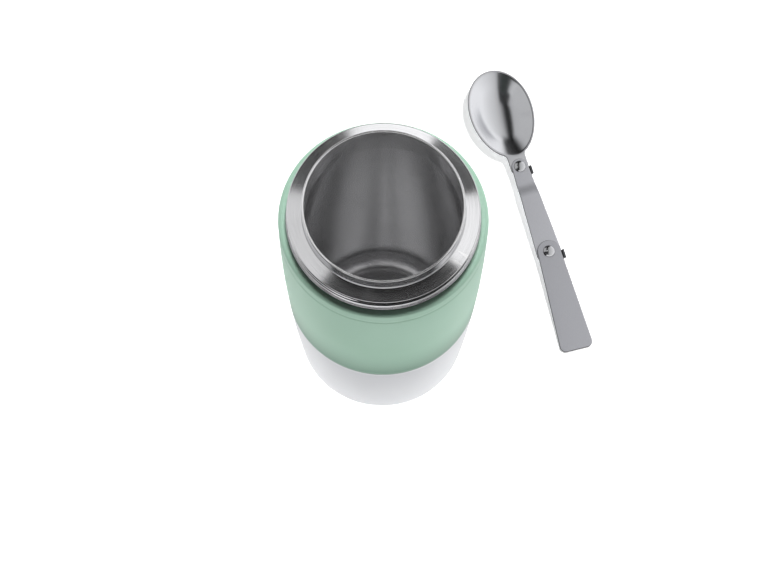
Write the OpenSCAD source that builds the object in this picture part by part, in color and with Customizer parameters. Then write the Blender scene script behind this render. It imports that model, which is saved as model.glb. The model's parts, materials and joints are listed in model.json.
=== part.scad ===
// Wide-mouth insulated food jar, open, with a three-section folding spoon lying beside it.
// Millimetres, +Z up. The origin is the centre of the face that the jar stands on.

/* [Jar body] */
// Width of the shoulder ledge, from the neck out to the side wall
ledge_w = 4.5; // [3.5:0.1:9.5]
// Outside diameter just above the rounded foot
base_d = 82.6; // [76:0.2:90]
// How far the side wall bows out between foot and shoulder
wall_bow = 1.7; // [1:0.1:2.5]
// Height of the shoulder ledge above the table
shoulder_h = 152.8; // [110:0.2:180]
// Rounding between side wall and ledge
shoulder_r = 2.6; // [1.5:0.1:4]
// Height of the line between the upper shell and the base cup
split_h = 66.6; // [45:0.2:85]
// Sheet thickness of the outer shell
shell_t = 0.7; // [0.5:0.1:1]

/* [Neck and mouth] */
// Outside diameter of the screw neck
neck_d = 86; // [80:1:100]
// Height of the neck above the ledge
neck_h = 7.6; // [5:0.2:14]
// Rounding at the neck's top edge
neck_edge_r = 1; // [0.5:0.1:1.5]
// Inside diameter of the mouth
mouth_d = 71; // [64:1:73]
// Height of the upstanding lip above the neck's edge
lip_h = 7.6; // [5:0.2:10]
// How much the mouth ring rises towards the lip
ring_rise = 0.5; // [0.2:0.1:2]

/* [Liner and vacuum] */
// Sheet thickness of the food liner
liner_t = 0.6; // [0.4:0.1:0.8]
// Sheet thickness of the neck
neck_t = 0.6; // [0.5:0.1:0.8]
// Space between liner and side wall
vacuum_gap = 5; // [3.5:0.5:8]
// Height over which the liner widens below the mouth
flare_h = 14; // [10:1:20]
// From the foil's top to where the liner starts to narrow
foil_stop = 8; // [4:1:20]
// Space between the vacuum bottom's middle and the liner, which the getter stands in
bottom_gap = 3; // [2.5:0.1:8]
// Rounding of the liner's bottom corner
liner_corner_r = 9; // [6:0.5:14]
// Thickness of the reflective foil
foil_t = 0.2; // [0.1:0.05:0.3]
// Space between liner and foil
foil_gap = 0.1; // [0.05:0.05:0.5]
// Thickness of the vacuum bottom
bottom_t = 0.8; // [0.6:0.1:1.2]
// How far the vacuum bottom is dished up in its middle
dish_h = 1.2; // [0.6:0.1:2]
// Diameter of the flat middle of the dish
dish_d = 44; // [20:1:60]
// Width of the dish's sloping ring
dish_slope_w = 6; // [4:0.5:8]
// Diameter of the pump-out hole
port_d = 4; // [2.5:0.5:6]
// Diameter of the getter pill
getter_d = 12; // [8:0.5:20]
// Height of the getter pill
getter_h = 2; // [1:0.5:3]

/* [Base cup] */
// Wall thickness of the base cup
cup_t = 1.2; // [0.8:0.1:2]
// Clearance between cup and shell
cup_gap = 0.1; // [0.05:0.05:0.3]
// Rounding at the foot
foot_r = 5; // [3:0.5:7]
// Thickness of the cup's floor
cup_floor_t = 2.4; // [2:0.1:4]
// How far the silicone pad stands out below the cup
pad_drop = 0.8; // [0.4:0.1:1.5]
// Depth of the pad's seat
pad_seat = 1.1; // [0.6:0.1:1.5]
// Diameter of the pad
pad_d = 64; // [48:1:68]

/* [Spoon] */
// Sheet thickness of the spoon's sections
sheet_t = 1.2; // [1:0.1:1.4]
// Length of the bowl's oval
bowl_len = 49; // [40:1:54]
// Width of the bowl's oval
bowl_w = 33.4; // [28:0.2:38]
// Depth of the bowl outside
bowl_depth = 8.4; // [6:0.2:11]
// Thickness of the bowl's rim
bowl_rim_t = 1; // [0.8:0.1:1.4]
// How far the rim lies below the top of the tang
rim_drop = 0.3; // [0.2:0.1:0.6]
// How much fuller the oval is towards its tip
bowl_egg = 0.06; // [0:0.01:0.12]
// From the bowl rivet to the near end of the oval
neck_len = 6.4; // [6:0.2:10]
// Radius of the hollow curves where the tang widens into the bowl
neck_flare_r = 3.2; // [1.5:0.1:4.5]
// How far these curves run into the bowl's edge
flare_bite = 0.2; // [0.1:0.05:0.4]
// Radius of the tang around the bowl rivet
tang_r = 4.8; // [4.6:0.1:5.5]
// Distance between the two rivets
link_len = 48.8; // [46:0.2:52]
// Radius of the link's end at the bowl rivet
link_head_r = 4.3; // [4:0.1:4.5]
// Radius of the link's end at the grip rivet
link_tail_r = 6.5; // [6:0.1:7]
// From the bowl rivet to the start of the joggle
joggle_at = 10.2; // [6:0.2:12]
// Length of the joggle's slope
joggle_len = 6; // [3:0.2:8]
// Height of the joggle
joggle_h = 1.8; // [1.7:0.1:2.2]
// From the grip rivet to the grip's end
grip_len = 53.4; // [46:0.2:60]
// Radius of the grip's end at its rivet
grip_head_r = 6; // [5.6:0.1:6.2]
// Width of the grip's far end
grip_end_w = 17; // [14:0.5:17.5]
// Corner radius at the grip's far end
grip_corner_r = 3; // [2:0.5:4]

/* [Spoon joints] */
// Diameter of the rivet shanks
rivet_d = 3; // [2.5:0.1:3.6]
// Diameter of the domed rivet heads
rivet_head_d = 6.4; // [5:0.1:6.8]
// Height of the domed rivet heads
rivet_head_h = 1.4; // [1:0.1:1.6]
// Diameter of the closed rivet ends
rivet_tail_d = 5; // [4.5:0.1:6]
// Height of the closed rivet ends
rivet_tail_h = 0.5; // [0.3:0.1:0.7]
// Radial clearance where a section turns on its rivet
turn_gap = 0.06; // [0.03:0.01:0.1]
// Clearance where a rivet is closed tight in a section
tight_gap = 0.02; // [0.01:0.01:0.03]
// Clearance between sections that slide over each other
leaf_gap = 0.05; // [0.03:0.01:0.1]
// Clearance between a section's edge and its stop tab
stop_gap = 0.15; // [0.1:0.05:0.4]
// Thickness of the bent-up stop tabs
tab_t = 1.2; // [1:0.1:1.4]
// Length of the stop tabs along the spoon
tab_len = 4.6; // [2:0.2:5.2]
// From a rivet to its stop tab, along the spoon
tab_at = 0.8; // [0.6:0.1:1.5]

/* [Spoon place] */
// Clearance between the grip, as it swings, and the jar's base
swing_gap = 0.4; // [0.3:0.1:60]
// Direction of the grip rivet from the jar's axis, from +X towards +Y
spoon_at = 26.9; // [10:0.1:45]
// Heading of the link, from the bowl rivet to the grip rivet
spoon_heading = -72.3; // [-80:0.1:-60]
// How far the grip is already turned from its stop towards the folded place
grip_rest = 2; // [0:0.5:4]

/* [Hidden] */
$fn = 96;
wall_steps = 18;
arc_steps = 10;
oval_steps = 26;
over = 1;

// ---- jar: levels and the side wall's curve ----
shoulder_z = shoulder_h - shoulder_r;
foot_z = pad_drop + foot_r;
neck_z = shoulder_h + neck_h;
lip_z = neck_z + lip_h;
neck_r = neck_d / 2;
body_d = neck_d + 2 * ledge_w;
mouth_r = mouth_d / 2;
cup_floor_z = pad_drop + cup_floor_t;
shell_inset = cup_t + cup_gap;
bottom_z = cup_floor_z + foot_r - cup_t;
liner_r = mouth_r + liner_t;
lip_r = liner_r + neck_t;
belly_z = shoulder_h - flare_h;
dish_z = bottom_z + dish_h;
liner_floor_z = dish_z + bottom_t + bottom_gap;
liner_low_z = liner_floor_z + liner_corner_r;

// Outside radius of the side wall at height z: a straight taper plus a parabolic bow
function wall_share(z) = (z - foot_z) / (shoulder_z - foot_z);
function wall_r(z) = base_d / 2 + (body_d - base_d) / 2 * wall_share(z)
    + 4 * wall_bow * wall_share(z) * (1 - wall_share(z));
// Points of the wall from z0 to z1, moved in by inset
function wall_line(z0, z1, inset) = [for (i = [0:wall_steps])
    let (z = z0 + (z1 - z0) * i / wall_steps) [wall_r(z) - inset, z]];
// Points of an arc about c
function arc_line(c, r, a0, a1) = [for (i = [0:arc_steps])
    let (a = a0 + (a1 - a0) * i / arc_steps) c + r * [cos(a), sin(a)]];
// Half a cosine wave from (r0, z0) to (r1, z1)
function ease_line(r0, z0, r1, z1) = [for (i = [0:arc_steps])
    let (u = i / arc_steps) [r0 + (r1 - r0) * (1 - cos(180 * u)) / 2, z0 + (z1 - z0) * u]];
function flip(list) = [for (i = [len(list) - 1:-1:0]) list[i]];
// A closed outline made of several lines, without the points that two of them share
function outline(lines) = let (all = [for (line = lines) each line])
    [for (i = [0:len(all) - 1]) if (i == 0 || norm(all[i] - all[max(0, i - 1)]) > 0.001) all[i]];

// ---- spoon: levels along the normal of its sheets ----
head_n = sheet_t + leaf_gap;
link_n = head_n + joggle_h;
grip_n = link_n + sheet_t + leaf_gap;
rivet_r = rivet_d / 2;
grip_end_x = grip_len - grip_corner_r;
grip_end_y = grip_end_w / 2 - grip_corner_r;
// Distance from the middle line at x to a section's edge that runs from a circle of radius r0
// to a circle of radius r1, which lies len further on
function edge_y(r0, r1, len, x) = (r0 + x * (r1 - r0) / len) / cos(asin((r1 - r0) / len));
tab_y = edge_y(link_head_r, link_tail_r, link_len, tab_at + tab_len) + stop_gap;
grip_tab_y = edge_y(grip_head_r, grip_end_w / 2, grip_end_x, tab_at + tab_len) + stop_gap;

// ---- spoon: the bowl's oval ----
bowl_mid = -neck_len - bowl_len / 2;
bowl_axis_n = (pow(bowl_w / 2, 2) - pow(bowl_depth, 2)) / (2 * bowl_depth);
rim_n = sheet_t - rim_drop;
// Half width of an oval with half axes a and b at x from its middle, fuller towards the tip
function oval_w(x, a, b) = b * sqrt(max(0, 1 - pow(x / a, 2))) * (1 - bowl_egg * x / a);
function oval_line(a, b) = [for (i = [0:oval_steps])
    let (x = -a * cos(180 * i / oval_steps)) [norm([oval_w(x, a, b), bowl_axis_n]), x]];

// ---- spoon: how it lies ----
// The bowl's underside is close to an arc of radius keel_r; it and the grip's end touch the table
keel_r = pow(bowl_len / bowl_w, 2) * (bowl_axis_n + bowl_depth);
keel_n = rim_n - bowl_depth + keel_r;
tip_x = link_len + grip_len;
lie_a = tip_x - bowl_mid;
lie_b = keel_n - grip_n;
spoon_tilt = asin(keel_r / norm([lie_a, lie_b])) - atan2(lie_b, lie_a);
spoon_z = tip_x * sin(spoon_tilt) - grip_n * cos(spoon_tilt);
// The grip rivet stands off the jar's base by what the grip reaches as it swings
grip_reach = norm([grip_end_x, grip_end_y]) + grip_corner_r;
stand_off = base_d / 2 + swing_gap + grip_reach;
link_reach = link_len * cos(spoon_tilt) + grip_n * sin(spoon_tilt);
spoon_x = stand_off * cos(spoon_at) - link_reach * cos(spoon_heading);
spoon_y = stand_off * sin(spoon_at) - link_reach * sin(spoon_heading);

// Plan of the tang: a round end, straight sides, and hollow arcs that run out into the bowl's edge.
// The arcs are set against the circle that fits the oval's near end.
function tang_line() = let (
    end_r = pow(bowl_w / 2 * (1 - bowl_egg), 2) / (bowl_len / 2),
    touch = end_r + neck_flare_r - flare_bite,
    end_x = -neck_len - end_r,
    arc_y = tang_r + neck_flare_r,
    arc_x = end_x + sqrt(pow(touch, 2) - pow(arc_y, 2)),
    side = arc_line([arc_x, arc_y], neck_flare_r, -90, asin(arc_y / touch) - 180)
) concat(arc_line([0, 0], tang_r, -90, 90), side, [for (p = flip(side)) [p[0], -p[1]]]);

module in_spoon() {
    translate([spoon_x, spoon_y, spoon_z]) rotate([0, 0, spoon_heading]) rotate([0, spoon_tilt, 0]) children();
}

// Direction of the outward normal of the straight side from circle p to circle q, both [x, y, r],
// where the circles are listed counter-clockwise
function side_normal(p, q) = let (d = [q[0] - p[0], q[1] - p[1]])
    atan2(d[1], d[0]) - acos((p[2] - q[2]) / norm(d));
// Convex outline around such circles: an arc at each, straight sides between them
function round_line(list) = [for (i = [0:len(list) - 1])
    let (n = len(list), c = list[i], a0 = side_normal(list[(i + n - 1) % n], c),
         a1 = side_normal(c, list[(i + 1) % n]))
    each arc_line([c[0], c[1]], c[2], a0, a1 < a0 ? a1 + 360 : a1)];

// ---- jar ----
module turned(lines) {
    rotate_extrude() polygon(outline(lines));
}

module outer_shell() {
    top_arc = [wall_r(shoulder_z) - shoulder_r, shoulder_z];
    color("#a9cdb8") turned([
        [[neck_r - neck_t, shoulder_h]],
        arc_line(top_arc, shoulder_r, 90, 0),
        flip(wall_line(split_h, shoulder_z, 0)),
        flip(wall_line(bottom_z, split_h, shell_inset)),
        wall_line(bottom_z, split_h + shell_t, shell_inset + shell_t),
        wall_line(split_h + shell_t + shell_inset, shoulder_z, shell_t),
        arc_line(top_arc, shoulder_r - shell_t, 0, 90),
        [[neck_r - neck_t, shoulder_h - shell_t]]
    ]);
}

module base_cup() {
    in_r = foot_r - cup_t;
    foot_x = base_d / 2 - foot_r;
    color("#e6e8ea") difference() {
        turned([
            [[0, pad_drop]],
            arc_line([foot_x, foot_z], foot_r, -90, 0),
            wall_line(foot_z, split_h, 0),
            flip(wall_line(bottom_z, split_h, cup_t)),
            arc_line([foot_x, bottom_z], in_r, 0, -90),
            [[0, cup_floor_z]]
        ]);
        translate([0, 0, pad_drop - over]) cylinder(h = over + pad_seat, d = pad_d);
    }
}

module base_pad() {
    color("#d0d2d4") cylinder(h = pad_drop + pad_seat, d = pad_d);
}

module neck_ring() {
    ring_z = neck_z + ring_rise;
    color("#b9bcc0") turned([
        [[neck_r, shoulder_h]],
        arc_line([neck_r - neck_edge_r, neck_z - neck_edge_r], neck_edge_r, 0, 90),
        [[lip_r + neck_t, ring_z], [lip_r, ring_z + neck_t]],
        arc_line([liner_r, lip_z - neck_t], neck_t, 0, 90),
        [[liner_r, ring_z - neck_t], [neck_r - neck_edge_r, neck_z - neck_t]],
        [[neck_r - neck_t, neck_z - neck_edge_r], [neck_r - neck_t, shoulder_h]]
    ]);
}

module inner_liner() {
    out = vacuum_gap + shell_t;
    belly_r = wall_r(belly_z) - out;
    corner = [wall_r(liner_low_z) - out - liner_corner_r, liner_low_z];
    color("#c4c7ca") turned([
        [[0, liner_floor_z]],
        arc_line(corner, liner_corner_r, -90, 0),
        wall_line(liner_low_z, belly_z, out),
        ease_line(belly_r, belly_z, liner_r, shoulder_h),
        arc_line([liner_r, lip_z - liner_t], liner_t, 90, 180),
        flip(ease_line(belly_r - liner_t, belly_z, mouth_r, shoulder_h)),
        flip(wall_line(liner_low_z, belly_z, out + liner_t)),
        arc_line(corner, liner_corner_r - liner_t, 0, -90),
        [[0, liner_floor_z + liner_t]]
    ]);
}

module heat_foil() {
    foil_in = vacuum_gap + shell_t - foil_gap;
    foil_top = belly_z - foil_stop;
    color("#c98a5a") turned([
        wall_line(liner_low_z, foil_top, foil_in - foil_t),
        flip(wall_line(liner_low_z, foil_top, foil_in))
    ]);
}

module vacuum_bottom() {
    rim_r = wall_r(bottom_z) - shell_inset - shell_t;
    flat_r = dish_d / 2;
    color("#a7aaad") turned([
        [[port_d / 2, dish_z]],
        ease_line(flat_r, dish_z, flat_r + dish_slope_w, bottom_z),
        [[rim_r, bottom_z], [rim_r, bottom_z + bottom_t]],
        ease_line(flat_r + dish_slope_w, bottom_z + bottom_t, flat_r, dish_z + bottom_t),
        [[port_d / 2, dish_z + bottom_t]]
    ]);
}

module vacuum_seal() {
    color("#9da0a2") translate([0, 0, dish_z]) {
        cylinder(h = bottom_t, d = port_d);
        translate([0, 0, -bottom_t]) cylinder(h = bottom_t, d = 2 * port_d);
    }
}

module getter() {
    color("#77797b") translate([0, 0, liner_floor_z - getter_h]) cylinder(h = getter_h, d = getter_d);
}

// ---- spoon ----
module bowl_form(a, b) {
    translate([bowl_mid, 0, rim_n + bowl_axis_n]) rotate([0, 90, 0])
        rotate_extrude() polygon(concat([[0, -a]], oval_line(a, b), [[0, a]]));
}

module below_rim() {
    translate([bowl_mid - bowl_len, -bowl_w, rim_n - bowl_w]) cube([2 * bowl_len, 2 * bowl_w, bowl_w]);
}

module stop_tab(x, inner_y, n0, n1) {
    translate([x, inner_y, n0]) cube([tab_len, tab_t, n1 - n0]);
}

module spoon_bowl() {
    color("#b4b6ba") in_spoon() {
        difference() {
            union() {
                intersection() {
                    bowl_form(bowl_len / 2, bowl_w / 2);
                    below_rim();
                }
                linear_extrude(sheet_t) {
                    polygon(tang_line());
                    translate([tab_at, 0]) square([tab_len, tab_y + tab_t]);
                }
                stop_tab(tab_at, tab_y, 0, head_n + sheet_t);
            }
            bowl_form(bowl_len / 2 - bowl_rim_t, bowl_w / 2 - bowl_rim_t);
            translate([0, 0, -over]) cylinder(h = sheet_t + 2 * over, r = rivet_r + turn_gap);
        }
    }
}

module link_side() {
    s0 = joggle_at;
    s1 = joggle_at + joggle_len;
    near = -link_head_r - over;
    far = link_len + link_tail_r + over;
    polygon([[near, head_n], [s0, head_n], [s1, link_n], [far, link_n], [far, link_n + sheet_t],
        [s1, link_n + sheet_t], [s0, head_n + sheet_t], [near, head_n + sheet_t]]);
}

module spoon_link() {
    tab_x = link_len + tab_at;
    color("#b0b2b6") in_spoon() difference() {
        union() {
            intersection() {
                linear_extrude(link_n + 2 * sheet_t)
                    polygon(round_line([[0, 0, link_head_r], [link_len, 0, link_tail_r]]));
                rotate([90, 0, 0]) linear_extrude(4 * link_tail_r, center = true) link_side();
            }
            translate([tab_x, 0, link_n]) cube([tab_len, grip_tab_y + tab_t, sheet_t]);
            stop_tab(tab_x, grip_tab_y, link_n, grip_n + sheet_t);
        }
        cylinder(h = link_n + 2 * sheet_t, r = rivet_r + tight_gap);
        translate([link_len, 0, 0]) cylinder(h = link_n + 2 * sheet_t, r = rivet_r + tight_gap);
    }
}

module spoon_grip() {
    color("#adafb3") in_spoon() translate([link_len, 0, grip_n]) rotate([0, 0, -grip_rest]) difference() {
        linear_extrude(sheet_t) polygon(round_line([[0, 0, grip_head_r],
            [grip_end_x, -grip_end_y, grip_corner_r], [grip_end_x, grip_end_y, grip_corner_r]]));
        translate([0, 0, -over]) cylinder(h = sheet_t + 2 * over, r = rivet_r + turn_gap);
    }
}

// A domed head, a shank through the stack from n0 to n1, and a flat closed end
module rivet(n0, n1) {
    dome_r = (pow(rivet_head_d / 2, 2) + pow(rivet_head_h, 2)) / (2 * rivet_head_h);
    translate([0, 0, n0 - rivet_tail_h]) cylinder(h = rivet_tail_h, d = rivet_tail_d);
    translate([0, 0, n0]) cylinder(h = n1 - n0, r = rivet_r);
    intersection() {
        translate([0, 0, n1 + rivet_head_h - dome_r]) sphere(r = dome_r);
        translate([0, 0, n1]) cylinder(h = rivet_head_h, r = rivet_head_d);
    }
}

module bowl_rivet() {
    color("#c8cacd") in_spoon() rivet(-leaf_gap, head_n + sheet_t);
}

module grip_rivet() {
    color("#c8cacd") in_spoon() translate([link_len, 0, 0]) rivet(link_n, grip_n + sheet_t + leaf_gap);
}

outer_shell();
base_cup();
neck_ring();
inner_liner();
heat_foil();
vacuum_bottom();
vacuum_seal();
getter();
base_pad();
spoon_bowl();
spoon_link();
spoon_grip();
bowl_rivet();
grip_rivet();
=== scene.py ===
import json

import bmesh
import bpy
import numpy as np
from mathutils import Matrix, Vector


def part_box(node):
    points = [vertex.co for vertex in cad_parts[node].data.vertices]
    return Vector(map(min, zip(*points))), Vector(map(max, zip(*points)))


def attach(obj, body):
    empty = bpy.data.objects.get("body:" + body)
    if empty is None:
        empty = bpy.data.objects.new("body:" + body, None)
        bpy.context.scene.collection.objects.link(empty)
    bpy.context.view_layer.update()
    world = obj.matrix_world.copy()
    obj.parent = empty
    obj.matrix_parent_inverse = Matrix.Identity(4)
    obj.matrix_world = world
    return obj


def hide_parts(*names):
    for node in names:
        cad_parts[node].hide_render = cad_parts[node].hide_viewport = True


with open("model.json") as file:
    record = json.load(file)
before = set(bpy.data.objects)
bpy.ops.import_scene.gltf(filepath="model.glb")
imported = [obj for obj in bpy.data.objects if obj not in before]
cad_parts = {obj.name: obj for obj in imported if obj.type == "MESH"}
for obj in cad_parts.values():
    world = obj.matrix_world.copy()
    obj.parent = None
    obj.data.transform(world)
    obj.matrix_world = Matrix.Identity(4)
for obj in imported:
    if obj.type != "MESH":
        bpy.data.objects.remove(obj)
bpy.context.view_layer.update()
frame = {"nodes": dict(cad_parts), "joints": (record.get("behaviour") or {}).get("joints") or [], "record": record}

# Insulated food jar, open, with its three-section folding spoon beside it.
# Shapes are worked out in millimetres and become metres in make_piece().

MM = 0.001
NEAR = 0.01              # mm within which two measures count as the same
mounts = {m["name"]: m for m in frame["record"]["mounts"]}
joints = {j["name"]: j for j in frame["joints"]}


def lowest(node):
    return np.array(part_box(node)[0]) / MM


def highest(node):
    return np.array(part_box(node)[1]) / MM


# ---- jar: sizes ----
neck_r = mounts["neck"]["dims"]["r_mm"]
mouth_r = mounts["mouth"]["dims"]["r_mm"]
lip_z = highest("neck_ring")[2]
shoulder_h = highest("outer_shell")[2]
split_h = highest("base_cup")[2]
shell_low_z = lowest("outer_shell")[2]
liner_floor_z = lowest("inner_liner")[2]
pad_top_z = highest("base_pad")[2]
pad_drop = lowest("base_cup")[2]
pad_r = highest("base_pad")[0]
ledge_w = 4.5
base_r = 41.3
wall_bow = 1.7
shoulder_r = 1.6
foot_r = 5.0
shell_t = 0.7
cup_t = 1.2
cup_gap = 0.1
cup_floor_t = 2.4
neck_t = 0.6
liner_t = 0.6
neck_edge_r = 1.0
lip_h = 7.6
ring_rise = 0.5
vacuum_gap = 5.0
flare_h = 14.0
liner_corner_r = 9.0
seam_r = 0.28            # rounding where the shell and the cup meet
seam_gap = 0.12
crease_z = 145.1         # shallow groove round the wall, under the shoulder
crease_depth = 0.28
crease_w = 0.85
crease_reach = 2.6       # height above and below it that is finely divided
lip_crease_r = 0.55      # hollow rounding between mouth ring and lip
lip_crease_sink = 0.02   # how far it sinks into the mouth ring
bead_r = 0.2             # rolled bead round the neck's foot
bead_out = 1.0           # how far it stands out from the neck
bead_sink = 0.1          # how far it sinks into the shell's ledge
bead_clear = 0.15        # plain wall left above it
rim_bead_r = 0.55        # the same at the neck's upper edge
rim_bead_out = 0.5
rim_bead_clear = 0.2     # plain wall left below it
thread_rows = 110        # rows of points up the neck
thread_pitch = 2.9
thread_h = 0.42
thread_half_w = 0.55
thread_low_z = 153.2
thread_top_z = 157.4
thread_start = 109.0     # degrees round the jar where the thread begins
thread_fade = 24.0       # degrees over which it rises from the neck

body_r = neck_r + ledge_w
foot_z = pad_drop + foot_r
shoulder_z = shoulder_h - shoulder_r
neck_z = lip_z - lip_h
ring_z = neck_z + ring_rise
liner_r = mouth_r + liner_t
lip_r = liner_r + neck_t
shell_inset = cup_t + cup_gap
belly_z = shoulder_h - flare_h
liner_low_z = liner_floor_z + liner_corner_r
bead_top = shoulder_h + 1.5 * bead_r     # just above the last point of the foot's bead

# ---- spoon: sizes ----
sheet_t = 1.2
leaf_gap = 0.05
bowl_len = 49.0
bowl_w = 33.4
bowl_depth = 8.4
bowl_rim_t = 1.0
bowl_flank = np.radians(38)     # slope of the bowl's sides outside its round middle
rim_drop = 0.3
bowl_egg = 0.06
tang_neck_len = 6.4
tang_flare_r = 3.2
tang_r = 4.8
link_head_r = 4.3
link_tail_r = 6.5
joggle_at = 9.2
joggle_len = 8.0
grip_len = 53.4
grip_head_r = 6.0
grip_end_w = 17.0
grip_corner_r = 3.0
rivet_shank_r = 1.5
rivet_head_r = 3.2
rivet_head_h = 1.4
rivet_tail_r = 2.5
rivet_tail_h = 0.5
stop_gap = 0.15
tab_t = 1.2
tab_len = 4.6
tab_at = 0.8
tab_root_y = 1.0         # where the stop tabs begin, inside the sheet
tab_bend_r = 0.85
tab_edge_r = 0.25
edge_r = 0.32            # rounding of the sheets' edges
rim_edge_r = 0.24        # rounding of the bowl's rim
rim_t = 0.62             # height of the bowl's rim
rim_blend = 0.22         # rounding between the hollow and its rim
under_blend = 0.35       # rounding between the bowl's underside and the rim's
under_rise = 0.05        # makes up for what that rounding takes off the underside
tang_rise_w = 5.0        # length over which the rim's height goes over into the tang's
rise_in_top = 4.0        # how far inside the bowl that begins, on top
rise_in_under = 5.0      # and underneath
oval_gap = 0.35          # between the tang flare's last point and the oval's first
bowl_spine = 0.42        # share of the half length that the middle line of the bowl's grid reaches

# ---- spoon: its frame, from the two rivets' joints ----
head_n = sheet_t + leaf_gap
spoon_up = np.array(joints["bowl_fold"]["axis"])
bowl_rivet_at = np.array(joints["bowl_fold"]["pos_m"]) / MM
grip_rivet_at = np.array(joints["grip_fold"]["pos_m"]) / MM
between = grip_rivet_at - bowl_rivet_at
climb = between @ spoon_up
spoon_along = between - climb * spoon_up
link_len = np.linalg.norm(spoon_along)
spoon_along = spoon_along / link_len
spoon_side = np.cross(spoon_up, spoon_along)
spoon_origin = bowl_rivet_at - head_n * spoon_up
grip_n = head_n + climb
link_n = grip_n - leaf_gap - sheet_t
grip_turn = np.radians(joints["grip_fold"]["range_deg"][0])
grip_end_x = grip_len - grip_corner_r
grip_end_y = grip_end_w / 2 - grip_corner_r
rim_n = sheet_t - rim_drop
bowl_mid = -tang_neck_len - bowl_len / 2
bowl_round_r = (bowl_w / 2 * np.tan(bowl_flank) - bowl_depth) / (1 / np.cos(bowl_flank) - 1)


# ---- lines and surfaces ----
def ease(u):
    """Half a cosine wave from 0 to 1: (1 - cos(pi u)) / 2, level at both ends."""
    return (1 - np.cos(np.pi * np.clip(u, 0, 1))) / 2


def arc(a, b, radius, start, end, steps):
    """Points on a circle at equal angles, in degrees: centre (a, b) plus radius times (cos, sin)."""
    angle = np.radians(np.linspace(start, end, steps + 1))
    return np.column_stack((a + radius * np.cos(angle), b + radius * np.sin(angle)))


def rounded(corners, steps):
    """Closed outline through corners (a, b, radius). Each arc touches both sides of its corner:
    its centre lies on their bisector, radius / sin(half angle) away."""
    corners = np.array(corners, float)
    p, radius = corners[:, :2], corners[:, 2]
    back = np.roll(p, 1, 0) - p
    ahead = np.roll(p, -1, 0) - p
    back /= np.linalg.norm(back, axis=1)[:, None]
    ahead /= np.linalg.norm(ahead, axis=1)[:, None]
    half = np.arccos(np.clip((back * ahead).sum(1), -1, 1)) / 2
    bisector = back + ahead
    bisector /= np.maximum(np.linalg.norm(bisector, axis=1), 1e-9)[:, None]
    reach = radius / np.tan(half)
    centre = p + bisector * (radius / np.sin(half))[:, None]
    first = p + back * reach[:, None] - centre
    last = p + ahead * reach[:, None] - centre
    start = np.arctan2(first[:, 1], first[:, 0])
    turn = (np.arctan2(last[:, 1], last[:, 0]) - start + np.pi) % (2 * np.pi) - np.pi
    angle = start[:, None] + turn[:, None] * np.linspace(0, 1, steps + 1)
    points = centre[:, None] + radius[:, None, None] * np.stack((np.cos(angle), np.sin(angle)), -1)
    return without_repeats(points.reshape(-1, 2))


def without_repeats(points):
    """The same line without points that fall on the one before."""
    step = np.linalg.norm(points - np.roll(points, 1, 0), axis=1)
    return points[step > 1e-4]


def wall_radius(z):
    """Side wall: a straight taper plus a parabolic bow, from the foot to the shoulder."""
    share = (z - foot_z) / (shoulder_z - foot_z)
    return base_r + (body_r - base_r) * share + 4 * wall_bow * share * (1 - share)


def wall(z0, z1, inset, steps=30):
    """Points (r, z) of the side wall between two heights, moved in by inset."""
    z = np.linspace(z0, z1, steps + 1)
    return np.column_stack((wall_radius(z) - inset, z))


def swell(r0, z0, r1, z1, steps=16):
    """Points (r, z) of a wall that widens or narrows along half a cosine wave."""
    u = np.linspace(0, 1, steps + 1)
    return np.column_stack((r0 + (r1 - r0) * ease(u), z0 + (z1 - z0) * u))


def grid_faces(rows, columns, wrap_rows):
    """Four-sided faces between neighbouring rows of points; the columns run round and close."""
    row = np.arange(rows if wrap_rows else rows - 1)[:, None]
    column = np.arange(columns)[None]
    after, beside = (row + 1) % rows, (column + 1) % columns
    corners = (row * columns + column, row * columns + beside,
               after * columns + beside, after * columns + column)
    return np.stack(corners, -1).reshape(-1, 4)


def make_piece(name, points, faces, material, body, node, plan=None):
    """A smooth mesh from points in millimetres, in place of a CAD node. Faces turn outwards by the sign of
    the enclosed volume.
    plan gives each point its millimetres along and across the sheet, for the UV, and 1 on cut edges, stop
    tabs and rivet feet, which the steel paints dark as painted shade."""
    a, b, c, d = (points[faces[:, i]] for i in range(4))
    volume = (np.cross(b - a, c - a) * a).sum() + (np.cross(c - a, d - a) * a).sum()
    if volume < 0:
        faces = faces[:, ::-1]
    mesh = bpy.data.meshes.new(name)
    mesh.from_pydata((points * MM).tolist(), [], faces.tolist())
    if plan is not None:
        layer = mesh.uv_layers.new(name="plan")
        layer.data.foreach_set("uv", plan[faces.ravel(), :2].astype(np.float32).ravel())
        # 1 where the steel paints painted shade: cut edges, stop tabs, rivet feet
        cut = mesh.attributes.new("cut_edge", "FLOAT", "POINT")
        cut.data.foreach_set("value", plan[:, 2].astype(np.float32))
    work = bmesh.new()
    work.from_mesh(mesh)
    bmesh.ops.remove_doubles(work, verts=work.verts, dist=2e-7)
    bmesh.ops.dissolve_degenerate(work, edges=work.edges, dist=1e-8)
    work.to_mesh(mesh)
    work.free()
    mesh.shade_smooth()
    mesh.materials.append(material)
    piece = bpy.data.objects.new(name, mesh)
    bpy.context.scene.collection.objects.link(piece)
    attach(piece, body)
    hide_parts(node)
    return piece


def turned_points(outline, turns, lift=None):
    """An outline (r, z) turned about Z: (r cos a, r sin a, z), with lift(a, r, z) added to r."""
    angle = np.linspace(0, 2 * np.pi, turns, endpoint=False)[None]
    r, z = outline[:, :1], outline[:, 1:]
    radius = r + (lift(angle, r, z) if lift else 0 * angle)
    return np.stack((radius * np.cos(angle), radius * np.sin(angle), z + 0 * angle), -1).reshape(-1, 3)


def turn_piece(name, outline, material, node, closed=True, turns=256, lift=None):
    """A turned part of the jar."""
    points = turned_points(outline, turns, lift)
    return make_piece(name, points, grid_faces(len(outline), turns, closed), material, "jar", node)


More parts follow.
